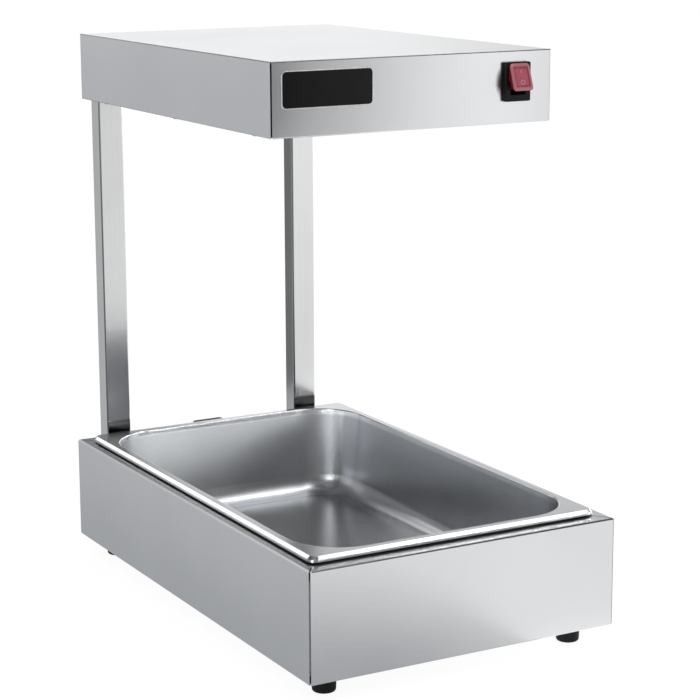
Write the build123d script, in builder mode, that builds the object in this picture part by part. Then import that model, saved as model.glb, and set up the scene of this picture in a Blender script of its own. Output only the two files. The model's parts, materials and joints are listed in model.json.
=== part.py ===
import os
from math import cos, hypot, radians, sin, sqrt, tan
from build123d import *

os.makedirs("parts", exist_ok=True)

# Frame: X to the right, Y to the back, Z up, millimetres. The floor is Z = 0 and the origin is the
# middle of the footprint, which runs from the base's front to the back of the uprights.

# Food pan, full gastronorm size
pan_rim_width = 325.0
pan_rim_length = 530.0
pan_depth = 100.0
pan_sheet = 1.0
rim_flange_side = 11.5
rim_flange_end = 12.0
rim_over_deck = 6.8
rim_height = 5.0
rim_flare = 0.8
rim_corner = 9.0
rim_slope = 3.0
rim_edge = 0.6
mouth_corner = 55.0
mouth_round = 1.5
bowl_draft = 5.0
bowl_floor_round = 22.0
seat_gap = 0.3
mouth_width = pan_rim_width - 2 * rim_flange_side
mouth_length = pan_rim_length - 2 * rim_flange_end

# Base, built round the pan: an upturned lip on the deck carries the flat part of the rim's underside.
lip_clearance = 0.4
side_deck = 18.1
front_deck = 24.1
rear_deck = 22.1
base_height = 112.0
foot_height = 20.0
base_sheet = 1.2
bend_outer = 1.8
bend_inner = 0.6
return_width = 18.0
seam_gap = 0.9
upright_depth = 22.0
lip_outset = pan_sheet + mouth_round + pan_sheet + lip_clearance
lip_half_width = mouth_width / 2 + lip_outset
lip_half_length = mouth_length / 2 + lip_outset
base_width = 2 * (lip_half_width + side_deck)
base_depth = front_deck + 2 * lip_half_length + rear_deck
base_bottom = foot_height
deck_height = foot_height + base_height
base_front = -(base_depth + upright_depth) / 2
base_back = base_front + base_depth
base_center_y = (base_front + base_back) / 2
panel_inner_back = base_back - base_sheet
pan_center_y = base_front + front_deck + lip_half_length
rim_top = deck_height + rim_over_deck
rim_bottom = rim_top - rim_height
lip_top = rim_top - pan_sheet - seat_gap

# Hood
hood_width = 312.0
hood_depth = 460.0
hood_height = 71.5
hood_sheet = 1.0
hood_gap = 388.5
hood_return = 16.0
hood_bend = 1.2
hood_seam = 1.6
hood_bottom = deck_height + hood_gap
hood_top = hood_bottom + hood_height
hood_back = base_back
hood_front = hood_back - hood_depth
hood_center_y = (hood_front + hood_back) / 2
hood_inner_back = hood_back - hood_sheet
hood_shelf = hood_bottom + hood_sheet

# Uprights, the bolts that hold them and the cable inside the right one
upright_width = 29.0
upright_wall = 1.5
upright_inset = 20.0
upright_round = 2.0
upright_foot_gap = 16.0
upright_head_gap = 12.0
bolt_offset = 5.5
cable_offset = 4.5
end_bolt_gap = 18.0
base_bolt_rise = 88.0
hood_bolt_rise = 12.5
cable_base_rise = 60.0
cable_hood_rise = 30.5
upright_center = hood_width / 2 - upright_inset - upright_width / 2
upright_middle_y = base_back + upright_depth / 2
upright_bottom = base_bottom + upright_foot_gap
upright_top = hood_top - upright_head_gap
upright_bolt_x = upright_center - bolt_offset
cable_x = upright_center + cable_offset
base_bolt_heights = (upright_bottom + end_bolt_gap, base_bottom + base_bolt_rise)
hood_bolt_heights = (hood_bottom + hood_bolt_rise, upright_top - end_bolt_gap)
cable_base_z = base_bottom + cable_base_rise
cable_hood_z = hood_bottom + cable_hood_rise

# Reflector, element and guard
reflector_sheet = 0.8
reflector_gap = 2.0
reflector_ledge = 23.0
reflector_slope = 36.0
reflector_rise = 44.5
switch_bay = 46.0
wiring_bay = 54.0
reflector_mouth = hood_width / 2 - hood_sheet - hood_return - reflector_ledge
reflector_crown = reflector_mouth - reflector_slope
reflector_front = hood_front + switch_bay
reflector_rear = hood_back - wiring_bay
reflector_top = hood_shelf + reflector_rise
crown_under = reflector_top - reflector_sheet
hood_floor = hood_shelf + reflector_sheet
element_radius = 4.0
element_drop = 20.2
element_inner_x = 22.0
element_pitch = 48.0
element_end_run = 23.0
element_turn_gap = 16.5
element_height = crown_under - element_drop
element_outer_x = element_inner_x + element_pitch
element_bend = min(element_inner_x, element_pitch / 2) - 2.0
element_end_y = reflector_rear + element_end_run
guard_frame_radius = 2.0
guard_rod_radius = 1.5
guard_gap = 6.0
guard_half_width = reflector_mouth - guard_gap

# Switch and badge, placed from the hood's corners
switch_inset = 41.6
switch_drop = 30.2
bezel_width = 29.5
bezel_height = 38.5
bezel_depth = 5.0
opening_width = 18.0
opening_height = 25.8
body_wall = 2.2
body_depth = 25.0
cutout_clearance = 0.2
rocker_half_width = 11.2
rocker_half_height = 13.8
rocker_corner = 3.4
rocker_edge = 2.0
rocker_bevel_run = 2.3
rocker_bevel_fall = 0.8
rocker_tilt = 20.0
rocker_rise = 0.35
neck_side_gap = 0.3
neck_half_height = 8.9
neck_back = 3.0
panel_half_width = 7.8
panel_half_height = 8.8
panel_sink = 0.5
mark_offset = 5.6
mark_height = 3.4
mark_ring = 5.0
mark_line = 0.7
mark_raise = 0.25
pivot_setback = 8.0
pivot_radius = 1.5
pivot_length = 1.3
pivot_clearance = 0.05
pivot_end_gap = 0.4
badge_inset = 59.7
badge_drop = 26.7
badge_width = 98.0
badge_height = 35.6
badge_border = 0.9
badge_corner = 4.9
badge_edge = 0.45
badge_frame_depth = 1.2
badge_plate_depth = 0.9
badge_gap = 0.05
switch_x = hood_width / 2 - switch_inset
switch_z = hood_top - switch_drop
bezel_face = hood_front - bezel_depth
pivot_y = bezel_face + pivot_setback
body_width = opening_width + 2 * body_wall
body_height = opening_height + 2 * body_wall
neck_half_width = opening_width / 2 - neck_side_gap
badge_x = badge_inset - hood_width / 2
badge_z = hood_top - badge_drop

# Fasteners
screw_radius = 2.0
screw_hole = 2.15
bolt_radius = 2.5
bolt_hole = 2.7
nut_bore_gap = 0.05
small_screw = 1.5
small_screw_hole = 1.65


def save(part, name):
    part.label = name
    export_step(part, "parts/" + name + ".step")


# Base panels: one folded section for all four, with its own deck width, cut to a mitre in plan.
corner_left = -base_width / 2
corner_right = base_width / 2
inner_front = base_front + front_deck
inner_back = base_back - rear_deck
panel_cases = (
    ("base_front_panel", front_deck, Plane((corner_left, base_front, 0), (0, 1, 0), (1, 0, 0)), base_width,
     ((corner_left + seam_gap, base_front), (corner_right - seam_gap, base_front),
      (lip_half_width - seam_gap, inner_front), (-lip_half_width + seam_gap, inner_front))),
    ("base_rear_panel", rear_deck, Plane((corner_right, base_back, 0), (0, -1, 0), (-1, 0, 0)), base_width,
     ((corner_left + seam_gap, base_back), (corner_right - seam_gap, base_back),
      (lip_half_width - seam_gap, inner_back), (-lip_half_width + seam_gap, inner_back))),
    ("base_left_panel", side_deck, Plane((corner_left, base_back, 0), (1, 0, 0), (0, -1, 0)), base_depth,
     ((corner_left, base_front + seam_gap), (-lip_half_width, inner_front + seam_gap),
      (-lip_half_width, inner_back - seam_gap), (corner_left, base_back - seam_gap))),
    ("base_right_panel", side_deck, Plane((corner_right, base_front, 0), (-1, 0, 0), (0, 1, 0)), base_depth,
     ((corner_right, base_front + seam_gap), (lip_half_width, inner_front + seam_gap),
      (lip_half_width, inner_back - seam_gap), (corner_right, base_back - seam_gap))),
)
foot_inset = 32.0
foot_x = base_width / 2 - foot_inset
foot_front_y = base_front + foot_inset
foot_rear_y = base_back - foot_inset
flange_middle = 11.0
plate_screw_end_gap = 100.0
plate_screw_x = 75.0
plate_screw_span = base_depth / 2 - plate_screw_end_gap
plate_screw_spots = []
for side in (-1, 1):
    for along in (-plate_screw_span, 0.0, plate_screw_span):
        plate_screw_spots.append((side * (base_width / 2 - flange_middle), base_center_y + along))
    plate_screw_spots.append((side * plate_screw_x, base_front + flange_middle))
    plate_screw_spots.append((side * plate_screw_x, base_back - flange_middle))
housing_drop = 1.5
housing_height = 42.0
housing_top = deck_height - housing_drop
inlet_hole_drop = 20.0
inlet_hole_radius = 6.0
inlet_screw_x = 13.0
inlet_screw_drop = 32.0
inlet_hole_z = housing_top - inlet_hole_drop
inlet_screw_z = housing_top - inlet_screw_drop
cable_radius = 3.0
grommet_wall = 1.6
cable_hole_radius = cable_radius + grommet_wall
block_x = 48.0
block_z = cable_base_z
block_screw_gap = 30.0
rear_holes = [(s * upright_bolt_x, z, bolt_hole) for s in (-1, 1) for z in base_bolt_heights]
rear_holes += [(s * inlet_screw_x, inlet_screw_z, small_screw_hole) for s in (-1, 1)]
rear_holes += [(block_x + s * block_screw_gap / 2, block_z, small_screw_hole) for s in (-1, 1)]
rear_holes += [(0.0, inlet_hole_z, inlet_hole_radius), (cable_x, cable_base_z, cable_hole_radius)]

for panel_name, deck, section_plane, length, plan in panel_cases:
    with BuildPart() as panel:
        with BuildSketch(section_plane) as section:
            with BuildLine():
                Polyline(
                    (return_width, base_bottom), (0, base_bottom), (0, deck_height),
                    (deck - base_sheet, deck_height), (deck - base_sheet, lip_top), (deck, lip_top),
                    (deck, deck_height - base_sheet), (base_sheet, deck_height - base_sheet),
                    (base_sheet, base_bottom + base_sheet), (return_width, base_bottom + base_sheet),
                    close=True)
            make_face()
            corners = section.vertices()
            outer_spots = ((0, base_bottom), (0, deck_height), (deck, deck_height - base_sheet))
            inner_spots = ((deck - base_sheet, deck_height), (base_sheet, deck_height - base_sheet),
                           (base_sheet, base_bottom + base_sheet))
            outer_bends = [v for v in corners for s in outer_spots if hypot(v.X - s[0], v.Y - s[1]) < 0.01]
            inner_bends = [v for v in corners for s in inner_spots if hypot(v.X - s[0], v.Y - s[1]) < 0.01]
            fillet(outer_bends, bend_outer)
            inner_bends = [v for v in section.vertices()
                           for s in inner_spots if hypot(v.X - s[0], v.Y - s[1]) < 0.01]
            fillet(inner_bends, bend_inner)
        extrude(amount=length)
        with BuildSketch(Plane.XY.offset(base_bottom - 1)):
            with BuildLine():
                Polyline(*plan, close=True)
            make_face()
        extrude(amount=base_height + 20, mode=Mode.INTERSECT)
        with BuildSketch(Plane.XY.offset(base_bottom - 1)):
            with Locations(*plate_screw_spots):
                Circle(screw_hole)
        extrude(amount=5, mode=Mode.SUBTRACT)
        if panel_name == "base_rear_panel":
            for hole_x, hole_z, hole_radius in rear_holes:
                with Locations(Location((hole_x, base_back, hole_z), (90, 0, 0))):
                    Cylinder(hole_radius, 8, mode=Mode.SUBTRACT)
    save(panel.part, panel_name)

# Corner gussets, one angle behind each seam
gusset_leg = 20.0
gusset_sheet = 1.5
gusset_end_gap = 10.0
gusset_bottom = base_bottom + gusset_end_gap
gusset_top = deck_height - gusset_end_gap
with BuildPart() as corner_gussets:
    for side in (-1, 1):
        for end in (-1, 1):
            corner_x = side * (base_width / 2 - base_sheet)
            corner_y = (base_back - base_sheet) if end > 0 else (base_front + base_sheet)
            with BuildSketch(Plane.XY.offset(gusset_bottom)):
                with BuildLine():
                    Polyline(
                        (corner_x, corner_y), (corner_x - side * gusset_leg, corner_y),
                        (corner_x - side * gusset_leg, corner_y - end * gusset_sheet),
                        (corner_x - side * gusset_sheet, corner_y - end * gusset_sheet),
                        (corner_x - side * gusset_sheet, corner_y - end * gusset_leg),
                        (corner_x, corner_y - end * gusset_leg), close=True)
                make_face()
            extrude(amount=gusset_top - gusset_bottom)
save(corner_gussets.part, "corner_gussets")

# Bottom plate, lying on the panels' return flanges
plate_sheet = 1.0
plate_margin = 2.6
plate_bottom = base_bottom + base_sheet
plate_top = plate_bottom + plate_sheet
foot_spots = {
    "foot_front_left": (-foot_x, foot_front_y),
    "foot_front_right": (foot_x, foot_front_y),
    "foot_rear_left": (-foot_x, foot_rear_y),
    "foot_rear_right": (foot_x, foot_rear_y),
}
with BuildPart() as base_bottom_plate:
    with BuildSketch(Plane.XY.offset(plate_bottom)):
        with Locations((0, base_center_y)):
            RectangleRounded(base_width - 2 * plate_margin, base_depth - 2 * plate_margin, 3)
        with Locations(*plate_screw_spots):
            Circle(screw_hole, mode=Mode.SUBTRACT)
        with Locations(*foot_spots.values()):
            Circle(bolt_hole, mode=Mode.SUBTRACT)
    extrude(amount=plate_sheet)
save(base_bottom_plate.part, "base_bottom_plate")

plate_nut_height = 3.2
with BuildPart() as bottom_plate_screws:
    for spot in plate_screw_spots:
        with Locations((spot[0], spot[1], base_bottom)):
            Cylinder(screw_radius, plate_top - base_bottom + plate_nut_height + 1.5,
                     align=(Align.CENTER, Align.CENTER, Align.MIN))
            Cylinder(3.8, 2.4, align=(Align.CENTER, Align.CENTER, Align.MAX))
    fillet(bottom_plate_screws.edges().group_by(Axis.Z)[0], 1.0)
save(bottom_plate_screws.part, "bottom_plate_screws")

with BuildPart() as bottom_plate_nuts:
    with BuildSketch(Plane.XY.offset(plate_top)):
        with Locations(*plate_screw_spots):
            RegularPolygon(3.5, 6, major_radius=False)
            Circle(screw_radius + nut_bore_gap, mode=Mode.SUBTRACT)
    extrude(amount=plate_nut_height)
save(bottom_plate_nuts.part, "bottom_plate_nuts")

# Feet: tapered rubber, each held by a screw sunk into its underside
foot_top_radius = 12.5
foot_bottom_radius = 11.6
foot_edge_round = 2.5
foot_sink_radius = 5.6
foot_sink_depth = 8.0
for foot_name, spot in foot_spots.items():
    with BuildPart() as foot:
        with Locations((spot[0], spot[1], 0)):
            Cone(foot_bottom_radius, foot_top_radius, plate_bottom,
                 align=(Align.CENTER, Align.CENTER, Align.MIN))
        fillet(foot.edges().sort_by(Axis.Z)[0], foot_edge_round)
        with Locations((spot[0], spot[1], 0)):
            Cylinder(bolt_hole, plate_bottom, align=(Align.CENTER, Align.CENTER, Align.MIN),
                     mode=Mode.SUBTRACT)
            Cylinder(foot_sink_radius, foot_sink_depth, align=(Align.CENTER, Align.CENTER, Align.MIN),
                     mode=Mode.SUBTRACT)
    save(foot.part, foot_name)

foot_nut_height = 4.0
with BuildPart() as foot_screws:
    for spot in foot_spots.values():
        with Locations((spot[0], spot[1], foot_sink_depth)):
            Cylinder(4.6, 3.0, align=(Align.CENTER, Align.CENTER, Align.MAX))
            Cylinder(bolt_radius, plate_top + foot_nut_height + 1.5 - foot_sink_depth,
                     align=(Align.CENTER, Align.CENTER, Align.MIN))
    fillet(foot_screws.edges().group_by(Axis.Z)[0], 1.2)
save(foot_screws.part, "foot_screws")

with BuildPart() as foot_nuts:
    with BuildSketch(Plane.XY.offset(plate_top)):
        with Locations(*foot_spots.values()):
            RegularPolygon(4.0, 6, major_radius=False)
            Circle(bolt_radius + nut_bore_gap, mode=Mode.SUBTRACT)
    extrude(amount=foot_nut_height)
save(foot_nuts.part, "foot_nuts")

# Food pan: the space of the bowl first, then the pressed sheet around it
with BuildPart() as bowl_space:
    with BuildSketch(Plane((0, pan_center_y, rim_top), (1, 0, 0), (0, 0, -1))):
        RectangleRounded(mouth_width, mouth_length, mouth_corner)
    extrude(amount=pan_depth - pan_sheet, taper=bowl_draft)
    fillet(bowl_space.faces().sort_by(Axis.Z)[0].edges(), bowl_floor_round)

with BuildPart() as food_pan:
    with BuildSketch(Plane((0, pan_center_y, rim_top), (1, 0, 0), (0, 0, -1))):
        RectangleRounded(mouth_width + 2 * pan_sheet, mouth_length + 2 * pan_sheet, mouth_corner + pan_sheet)
    extrude(amount=pan_depth, taper=bowl_draft)
    fillet(food_pan.faces().sort_by(Axis.Z)[0].edges(), bowl_floor_round + pan_sheet)
    with BuildSketch(Plane((0, pan_center_y, rim_bottom))):
        RectangleRounded(pan_rim_width - 2 * rim_flare, pan_rim_length - 2 * rim_flare, rim_corner)
    extrude(amount=rim_height)
    with BuildSketch(Plane((0, pan_center_y, rim_bottom))):
        inset = 2 * (rim_flare + pan_sheet)
        RectangleRounded(pan_rim_width - inset, pan_rim_length - inset, rim_corner - pan_sheet)
        RectangleRounded(mouth_width + 2 * pan_sheet - 1, mouth_length + 2 * pan_sheet - 1,
                         mouth_corner, mode=Mode.SUBTRACT)
    extrude(amount=rim_height - pan_sheet, mode=Mode.SUBTRACT)
    with BuildSketch(Plane((0, pan_center_y, rim_bottom))):
        RectangleRounded(pan_rim_width, pan_rim_length, rim_corner + rim_flare)
        RectangleRounded(pan_rim_width - inset, pan_rim_length - inset, rim_corner - pan_sheet,
                         mode=Mode.SUBTRACT)
    extrude(amount=pan_sheet)
    add(bowl_space.part, mode=Mode.SUBTRACT)
    underside = food_pan.faces().filter_by(
        lambda f: abs(f.center().Z - (rim_top - pan_sheet)) < 0.01 and f.normal_at().Z < -0.9)[0]
    fillet(underside.inner_wires()[0].edges(), mouth_round + pan_sheet)
    rim_face = food_pan.faces().filter_by(Axis.Z).sort_by(Axis.Z)[-1]
    fillet(rim_face.inner_wires()[0].edges(), mouth_round)
    underside = food_pan.faces().filter_by(
        lambda f: abs(f.center().Z - (rim_top - pan_sheet)) < 0.01 and f.normal_at().Z < -0.9)[0]
    chamfer(underside.outer_wire().edges(), rim_slope - pan_sheet * (2 - sqrt(2)))
    rim_face = food_pan.faces().filter_by(Axis.Z).sort_by(Axis.Z)[-1]
    chamfer(rim_face.outer_wire().edges(), rim_slope)
    rim_face = food_pan.faces().filter_by(Axis.Z).sort_by(Axis.Z)[-1]
    fillet(rim_face.outer_wire().edges(), rim_edge)
    slope_foot = food_pan.edges().filter_by(lambda e: abs(e.center().Z - (rim_top - rim_slope)) < 0.01)
    fillet(slope_foot, rim_edge)
save(food_pan.part, "food_pan")

# Uprights: two tubes bolted to the backs of the base and the hood
for upright_name, side in (("upright_left", -1), ("upright_right", 1)):
    with BuildPart() as upright:
        with BuildSketch(Plane((side * upright_center, upright_middle_y, upright_bottom))):
            RectangleRounded(upright_width, upright_depth, upright_round)
            RectangleRounded(upright_width - 2 * upright_wall, upright_depth - 2 * upright_wall,
                             upright_round - upright_wall, mode=Mode.SUBTRACT)
        extrude(amount=upright_top - upright_bottom)
        for bolt_z in base_bolt_heights + hood_bolt_heights:
            with Locations(Location((side * upright_bolt_x, base_back, bolt_z), (90, 0, 0))):
                Cylinder(bolt_hole, 8, mode=Mode.SUBTRACT)
        if side > 0:
            for cable_z in (cable_base_z, cable_hood_z):
                with Locations(Location((cable_x, base_back, cable_z), (90, 0, 0))):
                    Cylinder(cable_hole_radius, 8, mode=Mode.SUBTRACT)
    save(upright.part, upright_name)

plug_lip = 2.0
plug_depth = 12.0
plug_gap = 0.15
with BuildPart() as upright_plugs:
    for side in (-1, 1):
        for end_z, away in ((upright_bottom, -1), (upright_top, 1)):
            with BuildSketch(Plane((side * upright_center, upright_middle_y, end_z), (1, 0, 0), (0, 0, away))):
                RectangleRounded(upright_width, upright_depth, upright_round)
            extrude(amount=plug_lip)
            with BuildSketch(Plane((side * upright_center, upright_middle_y, end_z), (1, 0, 0), (0, 0, -away))):
                shrink = 2 * (upright_wall + plug_gap)
                RectangleRounded(upright_width - shrink, upright_depth - shrink, 0.4)
                Rectangle(upright_width - shrink - 4, upright_depth - shrink - 4, mode=Mode.SUBTRACT)
            extrude(amount=plug_depth)
save(upright_plugs.part, "upright_plugs")

# Bolts from inside the base and the hood into nuts welded inside the uprights
bolt_cases = []
for side in (-1, 1):
    for bolt_z in base_bolt_heights:
        bolt_cases.append((side * upright_bolt_x, panel_inner_back, bolt_z))
    for bolt_z in hood_bolt_heights:
        bolt_cases.append((side * upright_bolt_x, hood_inner_back, bolt_z))
weld_nut_height = 4.0
weld_nut_y = base_back + upright_wall
with BuildPart() as upright_bolts:
    for bolt_x, bolt_y, bolt_z in bolt_cases:
        with Locations(Location((bolt_x, bolt_y, bolt_z), (-90, 0, 0))):
            Cylinder(4.5, 3.2, align=(Align.CENTER, Align.CENTER, Align.MAX))
            Cylinder(bolt_radius, weld_nut_y + weld_nut_height + 2 - bolt_y,
                     align=(Align.CENTER, Align.CENTER, Align.MIN))
save(upright_bolts.part, "upright_bolts")

with BuildPart() as upright_weld_nuts:
    for bolt_x, bolt_y, bolt_z in bolt_cases:
        with BuildSketch(Plane((bolt_x, weld_nut_y, bolt_z), (1, 0, 0), (0, 1, 0))):
            RegularPolygon(4.0, 6, major_radius=False)
            Circle(bolt_radius + nut_bore_gap, mode=Mode.SUBTRACT)
        extrude(amount=weld_nut_height)
save(upright_weld_nuts.part, "upright_weld_nuts")

# Supply entry behind the base: a black housing with a cable gland under it
housing_width = 38.0
housing_bottom = housing_top - housing_height
housing_wall = 2.0
housing_inset = 1.0
housing_back = base_back + upright_depth - housing_inset
housing_boss = 3.6
inlet_thread = 11.0
gland_y = (base_back + housing_back) / 2
gland_thread = 7.0
gland_bore = 4.5
with BuildPart() as inlet_housing:
    with BuildSketch(Plane((0, base_back, (housing_top + housing_bottom) / 2), (1, 0, 0), (0, -1, 0))):
        RectangleRounded(housing_width, housing_top - housing_bottom, 3)
    extrude(amount=-(housing_back - base_back))
    fillet(inlet_housing.faces().sort_by(Axis.Y)[-1].edges(), 2)
    with BuildSketch(Plane((0, base_back, (housing_top + housing_bottom) / 2), (1, 0, 0), (0, -1, 0))):
        RectangleRounded(housing_width - 2 * housing_wall, housing_top - housing_bottom - 2 * housing_wall, 1)
    extrude(amount=-(housing_back - base_back - housing_wall), mode=Mode.SUBTRACT)
    with Locations((0, gland_y, housing_bottom)):
        Cylinder(gland_thread + 0.1, 3 * housing_wall, mode=Mode.SUBTRACT)
    for side in (-1, 1):
        with Locations(Location((side * inlet_screw_x, base_back, inlet_screw_z), (-90, 0, 0))):
            Cylinder(housing_boss, housing_back - base_back - housing_wall,
                     align=(Align.CENTER, Align.CENTER, Align.MIN))
            Cylinder(small_screw + nut_bore_gap, inlet_thread,
                     align=(Align.CENTER, Align.CENTER, Align.MIN), mode=Mode.SUBTRACT)
save(inlet_housing.part, "inlet_housing")

with BuildPart() as inlet_screws:
    for side in (-1, 1):
        with Locations(Location((side * inlet_screw_x, panel_inner_back, inlet_screw_z), (-90, 0, 0))):
            Cylinder(small_screw, inlet_thread, align=(Align.CENTER, Align.CENTER, Align.MIN))
            Cylinder(2 * small_screw, 2.0, align=(Align.CENTER, Align.CENTER, Align.MAX))
save(inlet_screws.part, "inlet_screws")

gland_hex_height = 5.0
gland_tail = 12.0
gland_lock_height = 4.0
gland_top = housing_bottom + housing_wall + gland_lock_height + 1.0
gland_low = housing_bottom - gland_hex_height - gland_tail
with BuildPart() as gland_body:
    with BuildSketch(Plane((0, gland_y, housing_bottom - gland_hex_height))):
        RegularPolygon(9.0, 6, major_radius=False)
    extrude(amount=gland_hex_height)
    with Locations((0, gland_y, gland_low)):
        Cylinder(gland_thread, gland_top - gland_low, align=(Align.CENTER, Align.CENTER, Align.MIN))
        Cylinder(gland_bore, gland_top - gland_low, align=(Align.CENTER, Align.CENTER, Align.MIN),
                 mode=Mode.SUBTRACT)
save(gland_body.part, "gland_body")

with BuildPart() as gland_dome_nut:
    with Locations((0, gland_y, gland_low - 2)):
        Cylinder(9.2, gland_tail + 1.4, align=(Align.CENTER, Align.CENTER, Align.MIN))
    fillet(gland_dome_nut.edges().sort_by(Axis.Z)[0], 3.0)
    with Locations((0, gland_y, gland_low)):
        Cylinder(gland_thread + 0.1, gland_tail, align=(Align.CENTER, Align.CENTER, Align.MIN),
                 mode=Mode.SUBTRACT)
    with Locations((0, gland_y, gland_low - 2)):
        Cylinder(gland_bore + 0.6, 4, align=(Align.CENTER, Align.CENTER, Align.MIN), mode=Mode.SUBTRACT)
save(gland_dome_nut.part, "gland_dome_nut")

with BuildPart() as gland_lock_nut:
    with BuildSketch(Plane((0, gland_y, housing_bottom + housing_wall))):
        Circle(8.2)
        Circle(gland_thread + 0.1, mode=Mode.SUBTRACT)
    extrude(amount=gland_lock_height)
save(gland_lock_nut.part, "gland_lock_nut")

# Terminal block inside the base, on the rear panel
block_length = 46.0
block_depth = 14.0
block_height = 18.0
block_front = panel_inner_back - block_depth
with BuildPart() as base_terminal_block:
    with Locations((block_x, panel_inner_back, block_z)):
        Box(block_length, block_depth, block_height, align=(Align.CENTER, Align.MAX, Align.CENTER))
    fillet(base_terminal_block.edges().filter_by(Axis.X), 1.0)
    for slot in (-15, -5, 5, 15):
        with Locations(Location((block_x + slot, block_front, block_z), (90, 0, 0))):
            Cylinder(2.6, 6, mode=Mode.SUBTRACT)
    for side in (-1, 1):
        with Locations(Location((block_x + side * block_screw_gap / 2, panel_inner_back, block_z), (90, 0, 0))):
            Cylinder(small_screw + nut_bore_gap, 12, mode=Mode.SUBTRACT)
save(base_terminal_block.part, "base_terminal_block")

with BuildPart() as block_screws:
    for side in (-1, 1):
        with Locations(Location((block_x + side * block_screw_gap / 2, base_back, block_z), (90, 0, 0))):
            Cylinder(small_screw, 6.5, align=(Align.CENTER, Align.CENTER, Align.MIN))
            Cylinder(2 * small_screw, 1.8, align=(Align.CENTER, Align.CENTER, Align.MAX))
save(block_screws.part, "block_screws")

# Cable grommets where the supply cable passes through sheet
grommet_lip = 1.2
grommet_bore_gap = 0.2
grommet_cases = (
    (0.0, inlet_hole_z, panel_inner_back, base_back, inlet_hole_radius, gland_bore),
    (cable_x, cable_base_z, panel_inner_back, base_back + upright_wall, cable_hole_radius,
     cable_radius + grommet_bore_gap),
    (cable_x, cable_hood_z, hood_inner_back, hood_back + upright_wall, cable_hole_radius,
     cable_radius + grommet_bore_gap),
)
with BuildPart() as cable_grommets:
    for grommet_x, grommet_z, front_y, rear_y, hole_radius, bore_radius in grommet_cases:
        with Locations(Location((grommet_x, front_y - grommet_lip, grommet_z), (-90, 0, 0))):
            Cylinder(hole_radius + 1.4, grommet_lip, align=(Align.CENTER, Align.CENTER, Align.MIN))
            Cylinder(hole_radius - 0.05, rear_y - front_y + 2 * grommet_lip,
                     align=(Align.CENTER, Align.CENTER, Align.MIN))
        with Locations(Location((grommet_x, rear_y, grommet_z), (-90, 0, 0))):
            Cylinder(hole_radius + 1.4, grommet_lip, align=(Align.CENTER, Align.CENTER, Align.MIN))
        with Locations(Location((grommet_x, front_y, grommet_z), (90, 0, 0))):
            Cylinder(bore_radius, 20, mode=Mode.SUBTRACT)
save(cable_grommets.part, "cable_grommets")

# Supply cable: base block, right upright, hood block
cable_bend = 8.0
base_cable_gap = 9.0
base_cable_y = panel_inner_back - base_cable_gap
hood_block_side_gap = 10.0
hood_block_back_gap = 21.0
hood_block_length = 30.0
hood_block_depth = 16.0
hood_block_height = 17.0
hood_block_x = cable_x - hood_block_side_gap - hood_block_length / 2
hood_block_y = hood_back - hood_block_back_gap - hood_block_depth / 2
hood_cable_z = hood_floor + hood_block_height / 2
cable_start = block_x + block_length / 2
cable_end = hood_block_x + hood_block_length / 2
with BuildPart() as supply_cable:
    with BuildLine() as cable_route:
        FilletPolyline(
            (cable_start, base_cable_y, cable_base_z), (cable_x, base_cable_y, cable_base_z),
            (cable_x, upright_middle_y, cable_base_z), (cable_x, upright_middle_y, cable_hood_z),
            (cable_x, hood_block_y, cable_hood_z), (cable_x, hood_block_y, hood_cable_z),
            (cable_end, hood_block_y, hood_cable_z), radius=cable_bend)
    with BuildSketch(Plane((cable_start, base_cable_y, cable_base_z), z_dir=(1, 0, 0))):
        Circle(cable_radius)
    sweep(path=cable_route.wires()[0])
save(supply_cable.part, "supply_cable")

# Hood shell: one folded sheet with a seam at each corner
reflector_screw = 1.75
reflector_screw_hole = 1.9
reflector_screw_inset = 9.0
reflector_screw_end_gap = 51.0
reflector_screw_x = hood_width / 2 - hood_sheet - reflector_screw_inset
reflector_screw_span = hood_depth / 2 - reflector_screw_end_gap
reflector_screw_spots = [(side * reflector_screw_x, hood_center_y + along * reflector_screw_span)
                         for side in (-1, 1) for along in (-1, 0, 1)]
with BuildPart() as hood_shell:
    with Locations((0, hood_center_y, hood_bottom)):
        Box(hood_width, hood_depth, hood_height, align=(Align.CENTER, Align.CENTER, Align.MIN))
    fillet(hood_shell.faces().sort_by(Axis.Z)[-1].edges(), hood_bend)
    fillet(hood_shell.faces().sort_by(Axis.Z)[0].edges(), hood_bend)
    with Locations((0, hood_center_y, hood_shelf)):
        Box(hood_width - 2 * hood_sheet, hood_depth - 2 * hood_sheet, hood_height - 2 * hood_sheet,
            align=(Align.CENTER, Align.CENTER, Align.MIN), mode=Mode.SUBTRACT)
    with Locations((0, hood_center_y, hood_bottom - 1)):
        Box(hood_width - 2 * hood_sheet - 2 * hood_return, hood_depth - 2 * hood_sheet - 2 * hood_return, 4,
            align=(Align.CENTER, Align.CENTER, Align.MIN), mode=Mode.SUBTRACT)
    for side in (-1, 1):
        for end in (-1, 1):
            corner = (side * hood_width / 2, hood_center_y + end * hood_depth / 2, hood_bottom - 1)
            with Locations(Location(corner, (0, 0, 45 * side * end))):
                Box(4 * hood_return, hood_seam, hood_height + 1 - hood_bend,
                    align=(Align.CENTER, Align.CENTER, Align.MIN),
                    mode=Mode.SUBTRACT)
    for side in (-1, 1):
        for bolt_z in hood_bolt_heights:
            with Locations(Location((side * upright_bolt_x, hood_back, bolt_z), (90, 0, 0))):
                Cylinder(bolt_hole, 6, mode=Mode.SUBTRACT)
    with Locations(Location((cable_x, hood_back, cable_hood_z), (90, 0, 0))):
        Cylinder(cable_hole_radius, 6, mode=Mode.SUBTRACT)
    with Locations((switch_x, hood_front, switch_z)):
        Box(body_width + 2 * cutout_clearance, 6, body_height + 2 * cutout_clearance, mode=Mode.SUBTRACT)
    with Locations(*[(x, y, hood_bottom) for x, y in reflector_screw_spots]):
        Cylinder(reflector_screw_hole, 6, mode=Mode.SUBTRACT)
save(hood_shell.part, "hood_shell")

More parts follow.
